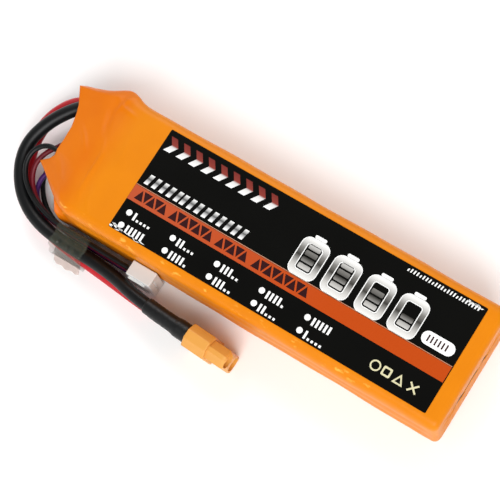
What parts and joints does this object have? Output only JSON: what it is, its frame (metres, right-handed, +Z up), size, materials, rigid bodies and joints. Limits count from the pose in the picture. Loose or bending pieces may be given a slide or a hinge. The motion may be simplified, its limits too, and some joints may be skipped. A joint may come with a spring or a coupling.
{
  "type": "lipo battery pack",
  "caption": "Flat rectangular lithium polymer battery pack in orange heat-shrink film, with paired main leads to a keyed power plug and a balance lead with a white plug.",
  "frame": {"origin": "centre of the pack's underside, measured on the film from the mouth of its collar to the closed end", "axes": "+X from the open collar, where the leads come out, to the closed end; +Y away from the side that the leads lie on; +Z up, out of the label"},
  "size_m": [0.166, 0.0592, 0.0241],
  "materials": {
    "film": "orange heat-shrink film, glossy, with faint creases",
    "label_print": "glossy black sticker with silver, white and dull orange print",
    "pouch_foil": "laminated foil, satin",
    "tab_aluminium": "rolled strip",
    "tab_nickel": "nickel-plated copper strip",
    "grey_foam": "closed-cell foam",
    "glass_fibre_sheet": "black glass-fibre sheet",
    "polyimide_tape": "amber film tape",
    "insulation_paper": "grey-green pressed fibre sheet",
    "circuit_board": "green lacquered glass-fibre board",
    "copper": "bare copper, tinned in places",
    "solder": "bright tin solder",
    "black_silicone": "soft matt silicone",
    "red_silicone": "soft matt silicone",
    "dark_red_silicone": "soft matt silicone",
    "violet_silicone": "soft matt silicone",
    "heat_shrink": "black heat-shrink tube",
    "amber_nylon": "amber moulded nylon, slightly cloudy",
    "gold_plate": "gold plating on brass",
    "white_nylon": "white moulded nylon",
    "tinned_brass": "tin plating on brass",
    "clear_tape": "clear packing tape, slightly cloudy"
  },
  "bodies": {
    "root": {"balance_plug_housing": "white_nylon", "balance_terminals": "tinned_brass", "balance_wire_1": "black_silicone", "balance_wire_2": "dark_red_silicone", "balance_wire_3": "violet_silicone", "balance_wire_4": "black_silicone", "black_lead": "black_silicone", "black_lead_core": "copper", "black_lead_solder": "solder", "bottom_plate": "glass_fibre_sheet", "cell_1": "pouch_foil", "cell_1_tab_negative": "tab_nickel", "cell_1_tab_positive": "tab_aluminium", "cell_2": "pouch_foil", "cell_2_tab_negative": "tab_nickel", "cell_2_tab_positive": "tab_aluminium", "cell_3": "pouch_foil", "cell_3_tab_negative": "tab_nickel", "cell_3_tab_positive": "tab_aluminium", "circuit_board": "circuit_board", "end_insulator": "insulation_paper", "end_pad": "grey_foam", "foam_pad_1": "grey_foam", "foam_pad_2": "grey_foam", "front_label": "label_print", "heat_shrink_black": "heat_shrink", "heat_shrink_red": "heat_shrink", "main_plug_housing": "amber_nylon", "main_socket_black": "gold_plate", "main_socket_red": "gold_plate", "pad_link_lower": "copper", "pad_link_upper": "copper", "pad_negative": "copper", "pad_positive": "copper", "red_lead": "red_silicone", "red_lead_core": "copper", "red_lead_solder": "solder", "shrink_sleeve": "film", "stack_tape": "polyimide_tape", "tab_solder": "solder", "top_plate": "glass_fibre_sheet", "wire_solder": "solder", "wire_tape": "clear_tape"}
  },
  "joints": []
}
